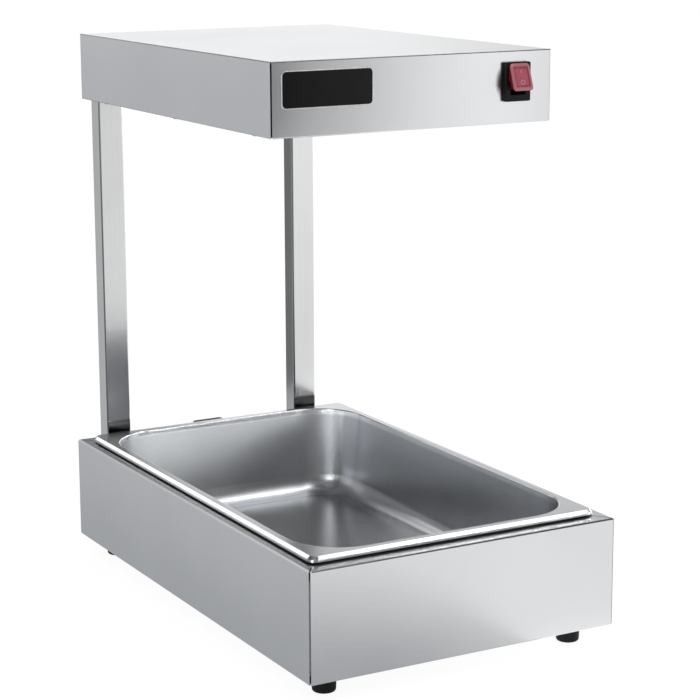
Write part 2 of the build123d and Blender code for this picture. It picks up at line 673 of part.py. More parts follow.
# Reflector: a folded trough lying on the hood's return flanges
bushing_radius = 6.5
bushing_gap = 0.1
clip_screw_outset = 11.0
clip_end_gap = 50.0
clip_screw_x = reflector_mouth + clip_screw_outset
clip_spots = [(side, along) for side in (-1, 1) for along in (reflector_front + clip_end_gap,
                                                              reflector_rear - clip_end_gap)]
reflector_margin = 2 * (hood_sheet + reflector_gap)
with BuildPart() as hood_reflector:
    with Locations((0, hood_center_y, hood_shelf)):
        Box(hood_width - reflector_margin, hood_depth - reflector_margin, reflector_sheet,
            align=(Align.CENTER, Align.CENTER, Align.MIN))
    with BuildSketch(Plane((0, reflector_front - reflector_sheet, 0), (1, 0, 0), (0, -1, 0))):
        with BuildLine():
            Polyline((-reflector_mouth - reflector_sheet, hood_shelf),
                     (reflector_mouth + reflector_sheet, hood_shelf),
                     (reflector_crown + reflector_sheet, reflector_top),
                     (-reflector_crown - reflector_sheet, reflector_top), close=True)
        make_face()
    extrude(amount=-(reflector_rear - reflector_front + 2 * reflector_sheet))
    with BuildSketch(Plane((0, reflector_front, 0), (1, 0, 0), (0, -1, 0))):
        with BuildLine():
            Polyline((-reflector_mouth, hood_shelf), (reflector_mouth, hood_shelf),
                     (reflector_crown, crown_under), (-reflector_crown, crown_under), close=True)
        make_face()
    extrude(amount=-(reflector_rear - reflector_front), mode=Mode.SUBTRACT)
    for side in (-1, 1):
        with Locations(Location((side * element_outer_x, reflector_rear, element_height), (90, 0, 0))):
            Cylinder(bushing_radius + bushing_gap, 6, mode=Mode.SUBTRACT)
    with Locations(*[(x, y, hood_shelf) for x, y in reflector_screw_spots]):
        Cylinder(reflector_screw_hole, 6, mode=Mode.SUBTRACT)
    with Locations(*[(side * clip_screw_x, along, hood_shelf) for side, along in clip_spots]):
        Cylinder(small_screw_hole, 6, mode=Mode.SUBTRACT)
save(hood_reflector.part, "hood_reflector")

with BuildPart() as reflector_screws:
    with Locations(*[(x, y, hood_bottom) for x, y in reflector_screw_spots]):
        Cylinder(reflector_screw, 8, align=(Align.CENTER, Align.CENTER, Align.MIN))
        Cylinder(2 * reflector_screw, 2.2, align=(Align.CENTER, Align.CENTER, Align.MAX))
    fillet(reflector_screws.edges().group_by(Axis.Z)[0], 0.9)
save(reflector_screws.part, "reflector_screws")

# Heating element: one rod bent three times, its ends through the reflector's rear wall
front_turn_y = reflector_front + element_turn_gap
rear_turn_y = reflector_rear - element_turn_gap
with BuildPart() as heating_element:
    with BuildLine() as element_route:
        FilletPolyline(
            (element_outer_x, element_end_y, element_height), (element_outer_x, front_turn_y, element_height),
            (element_inner_x, front_turn_y, element_height), (element_inner_x, rear_turn_y, element_height),
            (-element_inner_x, rear_turn_y, element_height), (-element_inner_x, front_turn_y, element_height),
            (-element_outer_x, front_turn_y, element_height), (-element_outer_x, element_end_y, element_height),
            radius=element_bend)
    with BuildSketch(Plane((element_outer_x, element_end_y, element_height), z_dir=(0, -1, 0))):
        Circle(element_radius)
    sweep(path=element_route.wires()[0])
save(heating_element.part, "heating_element")

support_sheet = 1.2
support_reach = 9.0
support_side = 16.0
support_end_gap = 95.0
support_flange = 10.0
rod_gap = 0.15
support_bottom = element_height - support_reach
support_low = element_outer_x + support_side
support_high = reflector_crown - 2.0
with BuildPart() as element_supports:
    for support_y in (reflector_front + support_end_gap, reflector_rear - support_end_gap):
        with BuildSketch(Plane((0, support_y, 0), (1, 0, 0), (0, -1, 0))):
            with BuildLine():
                Polyline((-support_low, support_bottom), (support_low, support_bottom),
                         (support_high, crown_under), (-support_high, crown_under), close=True)
            make_face()
            for leg_x in (-element_outer_x, -element_inner_x, element_inner_x, element_outer_x):
                with Locations((leg_x, element_height)):
                    Circle(element_radius + rod_gap, mode=Mode.SUBTRACT)
        extrude(amount=-support_sheet)
        with Locations((0, support_y, crown_under)):
            Box(2 * support_high - 6, support_flange, support_sheet, align=(Align.CENTER, Align.MIN, Align.MAX))
save(element_supports.part, "element_supports")

bushing_flange = 3.0
with BuildPart() as element_bushings:
    for side in (-1, 1):
        with Locations(Location((side * element_outer_x, reflector_rear + reflector_sheet, element_height),
                                (-90, 0, 0))):
            Cylinder(bushing_radius + 2.5, bushing_flange, align=(Align.CENTER, Align.CENTER, Align.MIN))
            Cylinder(bushing_radius, bushing_flange + 5, align=(Align.CENTER, Align.CENTER, Align.MIN))
            Cylinder(bushing_radius, 7, align=(Align.CENTER, Align.CENTER, Align.MAX))
            Cylinder(element_radius + nut_bore_gap, 40, mode=Mode.SUBTRACT)
save(element_bushings.part, "element_bushings")

with BuildPart() as element_nuts:
    for side in (-1, 1):
        rod_end = (side * element_outer_x, reflector_rear, element_height)
        with BuildSketch(Plane(rod_end, (1, 0, 0), (0, -1, 0))):
            RegularPolygon(bushing_radius + 2.0, 6, major_radius=False)
            Circle(bushing_radius + nut_bore_gap, mode=Mode.SUBTRACT)
        extrude(amount=4)
save(element_nuts.part, "element_nuts")

terminal_length = 14.0
terminal_end_y = element_end_y + terminal_length
with BuildPart() as element_terminals:
    for side in (-1, 1):
        with Locations(Location((side * element_outer_x, element_end_y, element_height), (-90, 0, 0))):
            Cylinder(1.8, terminal_end_y - element_end_y, align=(Align.CENTER, Align.CENTER, Align.MIN))
            Cylinder(3.2, 2.5, align=(Align.CENTER, Align.CENTER, Align.MIN))
save(element_terminals.part, "element_terminals")

# Wire guard under the element, lying on four clips
guard_z = hood_shelf + guard_frame_radius
guard_front = reflector_front + guard_gap
guard_rear = reflector_rear - guard_gap
guard_weld = 0.9
guard_corner = 10.0
stringer_x = 40.0
guard_rod_z = guard_z + guard_frame_radius + guard_rod_radius - guard_weld
guard_rod_count = 13
guard_pitch = (guard_rear - guard_front) / (guard_rod_count - 1)
with BuildPart() as guard_grille:
    with BuildLine() as guard_route:
        FilletPolyline((0, guard_front, guard_z), (guard_half_width, guard_front, guard_z),
                       (guard_half_width, guard_rear, guard_z), (0, guard_rear, guard_z), radius=guard_corner)
    with BuildSketch(Plane((0, guard_front, guard_z), z_dir=(1, 0, 0))):
        Circle(guard_frame_radius)
    sweep(path=guard_route.wires()[0])
    mirror(about=Plane.YZ)
    for index in range(1, guard_rod_count - 1):
        with Locations(Location((0, guard_front + index * guard_pitch, guard_rod_z), (0, 90, 0))):
            Cylinder(guard_rod_radius, 2 * guard_half_width + 1)
    for side in (-1, 1):
        with Locations(Location((side * stringer_x, (guard_front + guard_rear) / 2, guard_z), (90, 0, 0))):
            Cylinder(guard_rod_radius, guard_rear - guard_front + 1)
save(guard_grille.part, "guard_grille")

clip_sheet = hood_shelf - hood_bottom
clip_width = 26.0
clip_length = 16.0
clip_reach = 8.0
clip_middle = reflector_mouth - clip_reach + clip_width / 2
with BuildPart() as guard_clips:
    with Locations(*[(side * clip_middle, along, hood_bottom) for side, along in clip_spots]):
        Box(clip_width, clip_length, clip_sheet, align=(Align.CENTER, Align.CENTER, Align.MIN))
    with Locations(*[(side * clip_screw_x, along, hood_bottom) for side, along in clip_spots]):
        Cylinder(small_screw_hole, 6, mode=Mode.SUBTRACT)
save(guard_clips.part, "guard_clips")

with BuildPart() as guard_clip_screws:
    with Locations(*[(side * clip_screw_x, along, hood_bottom) for side, along in clip_spots]):
        Cylinder(small_screw, 7, align=(Align.CENTER, Align.CENTER, Align.MIN))
        Cylinder(2 * small_screw, 1.9, align=(Align.CENTER, Align.CENTER, Align.MAX))
    fillet(guard_clip_screws.edges().group_by(Axis.Z)[0], 0.8)
save(guard_clip_screws.part, "guard_clip_screws")

# Hood terminal block and the leads to the element and the switch
with BuildPart() as hood_terminal_block:
    with Locations((hood_block_x, hood_block_y, hood_floor)):
        Box(hood_block_length, hood_block_depth, hood_block_height,
            align=(Align.CENTER, Align.CENTER, Align.MIN))
    fillet(hood_terminal_block.edges().filter_by(Axis.X).group_by(Axis.Z)[-1], 1.5)
    for slot in (-10, 0, 10):
        with Locations((hood_block_x + slot, hood_block_y, hood_floor + hood_block_height)):
            Cylinder(2.6, 8, mode=Mode.SUBTRACT)
save(hood_terminal_block.part, "hood_terminal_block")

lead_radius = 1.2
block_rear_y = hood_block_y + hood_block_depth / 2
block_front_y = hood_block_y - hood_block_depth / 2
lead_bend = 3.0
lead_back_gap = 9.0
lead_rise = 10.7
lead_lift = 9.0
right_lead_x = hood_block_x - 7.0
left_lead_x = hood_block_x + 5.0
lead_rear_y = hood_back - lead_back_gap
lead_z = hood_floor + lead_rise
with BuildPart() as element_leads:
    with BuildLine() as right_lead:
        FilletPolyline(
            (element_outer_x, terminal_end_y, element_height), (element_outer_x, lead_rear_y, element_height),
            (right_lead_x, lead_rear_y, element_height), (right_lead_x, lead_rear_y, lead_z),
            (right_lead_x, block_rear_y, lead_z), radius=lead_bend)
    with BuildSketch(Plane((element_outer_x, terminal_end_y, element_height), z_dir=(0, 1, 0))):
        Circle(lead_radius)
    sweep(path=right_lead.wires()[0])
    with BuildLine() as left_lead:
        FilletPolyline(
            (-element_outer_x, terminal_end_y, element_height), (-element_outer_x, lead_rear_y, element_height),
            (-element_outer_x, lead_rear_y, element_height + lead_lift),
            (left_lead_x, lead_rear_y, element_height + lead_lift), (left_lead_x, lead_rear_y, lead_z),
            (left_lead_x, block_rear_y, lead_z), radius=lead_bend)
    with BuildSketch(Plane((-element_outer_x, terminal_end_y, element_height), z_dir=(0, 1, 0))):
        Circle(lead_radius)
    sweep(path=left_lead.wires()[0])
save(element_leads.part, "element_leads")

# Switch housing, with the rocker's pivot bores in its side walls
body_back = hood_front + body_depth
cavity_gap = 1.0
neck_swing = neck_back + neck_half_height * sin(radians(rocker_tilt))
cavity_back = pivot_y + neck_swing + cavity_gap
with BuildPart() as switch_housing:
    with BuildSketch(Plane((switch_x, hood_front, switch_z), (1, 0, 0), (0, -1, 0))):
        RectangleRounded(bezel_width, bezel_height, 1.5)
    extrude(amount=bezel_depth)
    fillet(switch_housing.faces().sort_by(Axis.Y)[0].edges(), 0.8)
    with Locations((switch_x, hood_front, switch_z)):
        Box(body_width, body_depth, body_height, align=(Align.CENTER, Align.MIN, Align.CENTER))
    with Locations((switch_x, bezel_face, switch_z)):
        Box(opening_width, cavity_back - bezel_face, opening_height,
            align=(Align.CENTER, Align.MIN, Align.CENTER), mode=Mode.SUBTRACT)
    with Locations(Location((switch_x, pivot_y, switch_z), (0, 90, 0))):
        Cylinder(pivot_radius + pivot_clearance, opening_width + 2 * (pivot_length + pivot_end_gap),
                 mode=Mode.SUBTRACT)
save(switch_housing.part, "switch_housing")

# Rocker, drawn level and then turned to its pressed position: top in, bottom out.
# Its cap stands over the bezel, and the cap's underside lies along the bezel when it is pressed.
cap_middle = (pivot_setback + rocker_rise) / cos(radians(rocker_tilt))
cap_end = cap_middle + rocker_half_height * tan(radians(rocker_tilt))
rocker_face = cap_end + rocker_edge
cap_slope = tan(radians(rocker_tilt))
cut_reach = rocker_half_height + 8
tilt = Location((switch_x, pivot_y, switch_z), (-rocker_tilt, 0, 0))
panel_floor = -(rocker_face - panel_sink)
with BuildPart() as rocker_level:
    with BuildSketch(Plane((0, -cap_middle, 0), (1, 0, 0), (0, -1, 0))):
        RectangleRounded(2 * rocker_half_width, 2 * rocker_half_height, rocker_corner)
    extrude(amount=rocker_face - cap_middle)
    chamfer(rocker_level.faces().sort_by(Axis.Y)[0].edges(), rocker_bevel_run, rocker_bevel_fall,
            reference=rocker_level.faces().sort_by(Axis.Y)[0])
    with BuildSketch(Plane((-rocker_half_width - 1, 0, 0), (0, -1, 0), (-1, 0, 0))):
        for end in (-1, 1):
            with BuildLine():
                Polyline((cap_middle, 0), (cap_middle + cut_reach * cap_slope, end * cut_reach),
                         (cap_middle - 1, end * cut_reach), (cap_middle - 1, 0), close=True)
            make_face()
    extrude(amount=-2 * rocker_half_width - 2, mode=Mode.SUBTRACT)
    with Locations((0, neck_back, 0)):
        Box(2 * neck_half_width, neck_back + rocker_face - panel_sink - 1, 2 * neck_half_height,
            align=(Align.CENTER, Align.MAX, Align.CENTER))
    with Locations((0, panel_floor, 0)):
        Box(2 * panel_half_width, 8, 2 * panel_half_height, align=(Align.CENTER, Align.MAX, Align.CENTER),
            mode=Mode.SUBTRACT)
    with Locations(Location((0, 0, 0), (0, 90, 0))):
        Cylinder(pivot_radius, opening_width + 2 * pivot_length)
with BuildPart() as switch_rocker:
    with Locations(tilt):
        add(rocker_level.part)
save(switch_rocker.part, "switch_rocker")

# The on and off marks, raised on the rocker's sunk panel
with BuildPart() as marks_level:
    with BuildSketch(Plane((0, panel_floor, 0), (1, 0, 0), (0, -1, 0))):
        with Locations((0, mark_offset)):
            RectangleRounded(mark_line, mark_height, mark_line / 3)
        with Locations((0, -mark_offset)):
            Circle(mark_ring / 2)
            Circle(mark_ring / 2 - mark_line, mode=Mode.SUBTRACT)
    extrude(amount=mark_raise)
with BuildPart() as rocker_marks:
    with Locations(tilt):
        add(marks_level.part)
save(rocker_marks.part, "rocker_marks")

blade_x = 6.0
blade_z = 8.0
blade_length = 10.0
blade_end = body_back + blade_length
with BuildPart() as switch_terminals:
    for side in (-1, 1):
        for level in (-1, 1):
            with Locations((switch_x + side * blade_x, body_back, switch_z + level * blade_z)):
                Box(0.8, blade_length, 6.3, align=(Align.CENTER, Align.MIN, Align.CENTER))
save(switch_terminals.part, "switch_terminals")

switch_lead_x = switch_x + blade_x
upper_z = switch_z + blade_z
lower_z = switch_z - blade_z
upper_start_x = hood_block_x - 3.0
lower_start_x = hood_block_x + 9.0
upper_run_x = reflector_mouth + 20.0
lower_run_x = reflector_mouth + 26.0
upper_back_y = block_front_y - 8.0
lower_back_y = block_front_y - 11.0
upper_front_y = blade_end + 16.0
lower_front_y = blade_end + 10.0
lower_lead_z = lead_z - 6.0
with BuildPart() as switch_leads:
    with BuildLine() as upper_lead:
        FilletPolyline(
            (upper_start_x, block_front_y, lead_z), (upper_start_x, upper_back_y, lead_z),
            (upper_run_x, upper_back_y, lead_z), (upper_run_x, upper_front_y, lead_z),
            (upper_run_x, upper_front_y, upper_z), (switch_lead_x, upper_front_y, upper_z),
            (switch_lead_x, blade_end, upper_z), radius=lead_bend)
    with BuildSketch(Plane((upper_start_x, block_front_y, lead_z), z_dir=(0, -1, 0))):
        Circle(lead_radius)
    sweep(path=upper_lead.wires()[0])
    with BuildLine() as lower_lead:
        FilletPolyline(
            (lower_start_x, block_front_y, lower_lead_z), (lower_start_x, lower_back_y, lower_lead_z),
            (lower_run_x, lower_back_y, lower_lead_z), (lower_run_x, lower_front_y, lower_lead_z),
            (lower_run_x, lower_front_y, lower_z), (switch_lead_x, lower_front_y, lower_z),
            (switch_lead_x, blade_end, lower_z), radius=lead_bend)
    with BuildSketch(Plane((lower_start_x, block_front_y, lower_lead_z), z_dir=(0, -1, 0))):
        Circle(lead_radius)
    sweep(path=lower_lead.wires()[0])
save(switch_leads.part, "switch_leads")

# Badge: a thin bright frame round a blank plate
badge_plane = Plane((badge_x, hood_front, badge_z), (1, 0, 0), (0, -1, 0))
window_width = badge_width - 2 * badge_border
window_height = badge_height - 2 * badge_border
window_corner = badge_corner - badge_border
with BuildPart() as badge_frame:
    with BuildSketch(badge_plane):
        RectangleRounded(badge_width, badge_height, badge_corner)
        RectangleRounded(window_width, window_height, window_corner, mode=Mode.SUBTRACT)
    extrude(amount=badge_frame_depth)
    fillet(badge_frame.faces().sort_by(Axis.Y)[0].outer_wire().edges(), badge_edge)
save(badge_frame.part, "badge_frame")

with BuildPart() as badge_plate:
    with BuildSketch(badge_plane):
        RectangleRounded(window_width - 2 * badge_gap, window_height - 2 * badge_gap, window_corner)
    extrude(amount=badge_plate_depth)
save(badge_plate.part, "badge_plate")
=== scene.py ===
import json
from math import cos, pi, radians, sin

import bmesh
import bpy
from mathutils import Matrix, Vector


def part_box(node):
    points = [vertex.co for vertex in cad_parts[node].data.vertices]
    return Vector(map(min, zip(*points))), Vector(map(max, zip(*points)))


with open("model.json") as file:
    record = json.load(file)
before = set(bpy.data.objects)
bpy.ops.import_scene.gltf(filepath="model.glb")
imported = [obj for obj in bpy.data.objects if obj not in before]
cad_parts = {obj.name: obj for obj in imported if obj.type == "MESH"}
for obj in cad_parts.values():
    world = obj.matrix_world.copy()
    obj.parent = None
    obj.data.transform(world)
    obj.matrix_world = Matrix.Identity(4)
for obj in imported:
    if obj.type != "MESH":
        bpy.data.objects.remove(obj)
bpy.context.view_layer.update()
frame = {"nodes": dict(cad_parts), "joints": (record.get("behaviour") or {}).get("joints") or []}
nodes = frame["nodes"]

# The Mix node's sockets for colours, which come after those for numbers and vectors
mix_first = 6
mix_second = 7
mix_result = 2


# Shader graphs: a Wire is a socket in a tree, and arithmetic on it adds Math nodes.
class Wire:
    def __init__(self, tree, socket):
        self.tree = tree
        self.socket = socket

    def math(self, operation, first, second):
        settings = {"operation": operation}
        return Graph(self.tree).node("ShaderNodeMath", settings, {0: first, 1: second})

    def __add__(self, other):
        return self.math("ADD", self, other)

    def __radd__(self, other):
        return self.math("ADD", other, self)

    def __sub__(self, other):
        return self.math("SUBTRACT", self, other)

    def __rsub__(self, other):
        return self.math("SUBTRACT", other, self)

    def __mul__(self, other):
        return self.math("MULTIPLY", self, other)

    def __rmul__(self, other):
        return self.math("MULTIPLY", other, self)

    def __truediv__(self, other):
        return self.math("DIVIDE", self, other)

    def __rtruediv__(self, other):
        return self.math("DIVIDE", other, self)

    def __abs__(self):
        return self.math("ABSOLUTE", self, 0.0)

    def most(self, other):
        return self.math("MAXIMUM", self, other)

    def smooth(self, low, high):
        settings = {"interpolation_type": "SMOOTHSTEP"}
        return Graph(self.tree).node("ShaderNodeMapRange", settings, {0: self, 1: low, 2: high})


class Graph:
    def __init__(self, tree):
        self.tree = tree

    def node(self, kind, settings=None, inputs=None, out=0):
        made = self.tree.nodes.new(kind)
        for name, value in (settings or {}).items():
            setattr(made, name, value)
        for name, value in (inputs or {}).items():
            if isinstance(value, Wire):
                self.tree.links.new(value.socket, made.inputs[name])
            else:
                made.inputs[name].default_value = value
        return Wire(self.tree, made.outputs[out]) if len(made.outputs) else made

    def split(self, vector, axes="XYZ"):
        return [self.node("ShaderNodeSeparateXYZ", None, {0: vector}, axis) for axis in axes]

    def place(self):
        return self.node("ShaderNodeTexCoord", None, None, "Object")

    def facing(self, axes):
        return self.split(self.node("ShaderNodeNewGeometry", None, None, "Normal"), axes)

    def noise(self, vector, scale, detail=2.0, rough=0.5):
        inputs = {"Vector": vector, "Scale": scale, "Detail": detail, "Roughness": rough}
        return self.node("ShaderNodeTexNoise", None, inputs, "Fac")

    def hairs(self, vector, per_metre, detail=3.0, rough=0.6):
        """Noise drawn out into fine lines, with this many changes per metre along each axis."""
        drawn = self.node("ShaderNodeVectorMath", {"operation": "MULTIPLY"}, {0: vector, 1: per_metre})
        return self.noise(drawn, 1.0, detail, rough)

    def blend(self, factor, first, second):
        inputs = {"Factor": factor, mix_first: first, mix_second: second}
        return self.node("ShaderNodeMix", {"data_type": "RGBA"}, inputs, mix_result)

    def bump(self, height, distance, normal=None):
        inputs = {"Height": height, "Distance": distance, "Strength": 1.0}
        if normal:
            inputs["Normal"] = normal
        return self.node("ShaderNodeBump", None, inputs)


def grey(level, blue=1.0):
    """A grey with its blue this many times its red, and its green nearer to the red."""
    green = 1 + (blue - 1) * 0.4
    return (level, level * green, level * blue, 1.0)


def scaled(colour, share):
    return tuple(min(1.0, part * share) for part in colour) + (1.0,)


def uneven_grey(graph, factor, level, low, high, blue):
    return graph.blend(factor, grey(level * low, blue), grey(level * high, blue))


def vary(wire, amount):
    """A noise, which averages a half, turned into a change of this size about nothing."""
    return (wire - 0.5) * amount


def new_finish(name):
    finish = bpy.data.materials.new(name)
    finish.use_nodes = True
    finish.node_tree.nodes.clear()
    return finish, Graph(finish.node_tree)


def surface(graph, **inputs):
    sockets = {name.replace("_", " "): value for name, value in inputs.items()}
    shader = graph.node("ShaderNodeBsdfPrincipled", None, sockets)
    graph.node("ShaderNodeOutputMaterial", None, {"Surface": shader})


def box_centre(box, axis):
    low, high = box
    return (low[axis] + high[axis]) / 2


def box_half(box, axis):
    low, high = box
    return (high[axis] - low[axis]) / 2


pan_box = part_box("food_pan")
pan_top = pan_box[1][2]
panel_boxes = [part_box("base_%s_panel" % side) for side in ("left", "right", "front", "rear")]
base_box = ([min(low[axis] for low, high in panel_boxes) for axis in range(3)],
            [max(high[axis] for low, high in panel_boxes) for axis in range(3)])
base_left = base_box[0][0]

# Heights, sizes and distances from an edge that place the painted shade and highlights, in metres
deck_level = (0.10, 0.12)
over_base = (0.2, 0.3)
hood_level = (0.4, 0.5)
rim_shade_inset = (0.004, 0.0015)
seam_inset = (0.0016, 0.0008)
fold_highlight_inset = (0.0015, 0.0035)
tube_foot_rise = (0.007, 0.011)
pan_rim_drop = (0.008, 0.004)
bezel_mirror_wide = 0.009
bezel_mirror_half_tall = 0.0165
bezel_overlap = (0.004, 0.008)
rocker_half_wide = 0.0112
rocker_half_tall = 0.0138
rocker_face_out = (0.0138, 0.0148)

# How much of a face's normal points one way where a mark starts and where it is whole
facing_flat = (0.5, 0.8)
facing_bend = (0.15, 0.35)
facing_fold = (0.2, 0.5)
facing_corner = (0.2, 0.4)
facing_wall = (0.6, 0.9)

# The part of a noise's range over which a colour changes
noise_middle = (0.3, 0.7)

# Colour of the painted shade and painted dark reflections on the steels
shade_grey = grey(0.02)


def near_sides(wire, box, axis, inset):
    """Rises to 1 towards a box's two sides across an axis, between two distances inside them."""
    half = box_half(box, axis)
    return abs(wire - box_centre(box, axis)).smooth(half - inset[0], half - inset[1])


def painted_gap_shade(graph, place):
    """Painted shade on the sheets: the deck under the pan's rim, and the open seams at the base's corners.
    """
    x, y, z = graph.split(place)
    past_sides = near_sides(x, pan_box, 0, rim_shade_inset)
    past_ends = near_sides(y, pan_box, 1, rim_shade_inset)
    under_rim = (1 - past_sides) * (1 - past_ends)
    seam = near_sides(x, base_box, 0, seam_inset) * near_sides(y, base_box, 1, seam_inset)
    return (under_rim * z.smooth(*deck_level)).most(seam) * (1 - z.smooth(*over_base))


def switch_shade(graph, place, ahead):
    """Painted reflection on the hood's front beside the switch: a dark patch standing for the bezel's dark
    side.
    """
    switch_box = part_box("switch_housing")
    left = switch_box[0][0]
    x, z = graph.split(place, "XZ")
    aside = (left - x).most(0.0) / bezel_mirror_wide
    off = abs(z - box_centre(switch_box, 2)) / bezel_mirror_half_tall
    near = 1 - (aside * aside + off * off).smooth(0.1, 1.15)
    beside = 1 - x.smooth(left + bezel_overlap[0], left + bezel_overlap[1])
    return near * beside * z.smooth(*hood_level) * ahead.smooth(*facing_flat)


def painted_fold_highlight(graph, place, up):
    """Painted highlight along the fold of the base's left top edge: pale and less metallic."""
    x, z = graph.split(place, "XZ")
    edge = 1 - x.smooth(base_left + fold_highlight_inset[0], base_left + fold_highlight_inset[1])
    return edge * up.smooth(*facing_fold) * (1 - z.smooth(*over_base))


def sheet_steel(name, level, blue, rough, grain, wave):
    """Satin sheet: fine grain along the sheet, faint cloudy sheen, slight waviness of the flat faces, with
    painted shade, a painted dark reflection and a painted highlight.
    """
    finish, graph = new_finish(name)
    place = graph.place()
    back, up = graph.facing("YZ")
    ahead = back * -1
    upright_face = 1 - abs(up).smooth(*facing_flat)
    # Painted shade: a dark line along the front-facing folds
    front_fold_shade = ahead.smooth(*facing_bend) * up.smooth(*facing_bend)
    across = graph.hairs(place, (14, 14, 4200))
    along = graph.hairs(place, (4200, 14, 14))
    brushed = along + (across - along) * upright_face
    cloud = graph.noise(place, scale=9.0, detail=3.0)
    sway = graph.noise(place, scale=4.5, detail=1.0)
    mottle = (brushed * 0.35 + cloud * 0.65).smooth(0.25, 0.75)
    # Painted shade on the deck under the pan's rim, in the base's corner seams and along the front folds
    dark = (painted_gap_shade(graph, place) * 0.92).most(front_fold_shade * 0.7)
    # Painted dark reflection of the switch's bezel on the hood's front
    dark = dark.most(switch_shade(graph, place, ahead) * 0.82)
    # Painted highlight along the base's left top fold
    fold_highlight = painted_fold_highlight(graph, place, up)
    clean = uneven_grey(graph, mottle, level, 0.97, 1.03, blue)
    colour = graph.blend(fold_highlight, graph.blend(dark, clean, shade_grey), grey(0.95, 1.06))
    surface(graph, Base_Color=colour, Metallic=1 - fold_highlight * 0.8,
            Roughness=rough + vary(cloud, 0.06) + vary(brushed, 0.04),
            Normal=graph.bump(brushed, grain, graph.bump(sway, wave)))
    return finish


def polished_tube(name, level, rough):
    """Drawn and polished tube: hair lines along it, with painted shade along the front left corner and a
    painted dark reflection at its foot.
    """
    finish, graph = new_finish(name)
    place = graph.place()
    right, back = graph.facing("XY")
    ahead = back * -1
    height = graph.split(place, "Z")[0]
    # Painted shade along the front left corner, and a painted dark reflection at the foot
    corner = (right * -1).smooth(*facing_corner) * ahead.smooth(*facing_corner)
    foot = 1 - height.smooth(pan_top + tube_foot_rise[0], pan_top + tube_foot_rise[1])
    painted_dark = (corner * 0.8).most(foot * ahead.smooth(*facing_flat) * 0.86)
    drawn = graph.hairs(place, (3800, 3800, 5))
    cloud = graph.noise(place, scale=14.0)
    mottle = (drawn * 0.7 + cloud * 0.3).smooth(*noise_middle)
    clean = uneven_grey(graph, mottle, level, 0.95, 1.04, 1.01)
    surface(graph, Base_Color=graph.blend(painted_dark, clean, shade_grey), Metallic=1.0,
            Roughness=rough + vary(drawn, 0.06) + vary(cloud, 0.05),
            Normal=graph.bump(drawn, 0.000002))
    return finish


def pressed_steel(name, level, rough, rim_level, rim_rough):
    """Deep-drawn pan: blasted bowl with faint scratches, rougher on its back wall, and a shinier rim; the
    one steel is painted darker in the bowl as painted shade and paler on the rim as painted highlight.
    """
    finish, graph = new_finish(name)
    place = graph.place()
    height = graph.split(place, "Z")[0]
    rim = height.smooth(pan_top - pan_rim_drop[0], pan_top - pan_rim_drop[1])
    end_wall = (graph.facing("Y")[0] * -1).smooth(*facing_wall)
    peel = graph.noise(place, scale=420.0)
    cloud = graph.noise(place, scale=16.0, detail=3.0)
    scratches = graph.hairs(place, (60, 900, 60), detail=4.0, rough=0.7).smooth(0.66, 0.78)
    mottle = (cloud * 0.7 + peel * 0.3).smooth(*noise_middle)
    # One steel: the darker bowl colour is painted shade, the paler rim colour a painted highlight
    bowl = uneven_grey(graph, mottle, level, 0.95, 1.05, 1.05)
    edge = uneven_grey(graph, mottle, rim_level, 0.97, 1.03, 1.04)
    uneven_rough = rough + rim * (rim_rough - rough) + vary(cloud, 0.05) - scratches * 0.03
    surface(graph, Base_Color=graph.blend(rim, bowl, edge), Metallic=1.0,
            Roughness=uneven_rough + end_wall * (1 - rim) * 0.13,
            Normal=graph.bump(peel, 0.0000006))
    return finish


def plain_metal(name, colour, rough, scale=180.0, metallic=1.0):
    """Small plated or wire pieces: slight mottling and dulling."""
    finish, graph = new_finish(name)
    mottle = graph.noise(graph.place(), scale, detail=3.0)
    mixed = graph.blend(mottle.smooth(*noise_middle), scaled(colour, 0.86), scaled(colour, 1.08))
    surface(graph, Base_Color=mixed, Metallic=metallic, Roughness=rough + vary(mottle, 0.16),
            Normal=graph.bump(mottle, 0.00002))
    return finish


def moulded(name, colour, rough, scale=900.0, bump=0.00002, spread=0.18, specular=0.5):
    """Moulded rubber or plastic: fine spark texture and faint unevenness of colour."""
    finish, graph = new_finish(name)
    place = graph.place()
    spark = graph.noise(place, scale, detail=3.0)
    cloud = graph.noise(place, scale=60.0)
    mottle = (cloud * 0.6 + spark * 0.4).smooth(*noise_middle)
    mixed = graph.blend(mottle, scaled(colour, 1 - spread), scaled(colour, 1 + spread))
    surface(graph, Base_Color=mixed, Roughness=rough + vary(spark, 0.12), Specular_IOR_Level=specular,
            Normal=graph.bump(spark, bump))
    return finish


def heated_sheath(name):
    """Heater rod: grey oxide with a warm tint in places."""
    finish, graph = new_finish(name)
    place = graph.place()
    oxide = graph.noise(place, scale=38.0, detail=4.0, rough=0.6)
    fine = graph.noise(place, scale=700.0)
    colour = graph.blend(oxide.smooth(0.35, 0.65), (0.15, 0.13, 0.115, 1), (0.30, 0.27, 0.24, 1))
    surface(graph, Base_Color=colour, Metallic=0.7, Roughness=0.5 + vary(fine, 0.2),
            Normal=graph.bump(fine, 0.00002))
    return finish


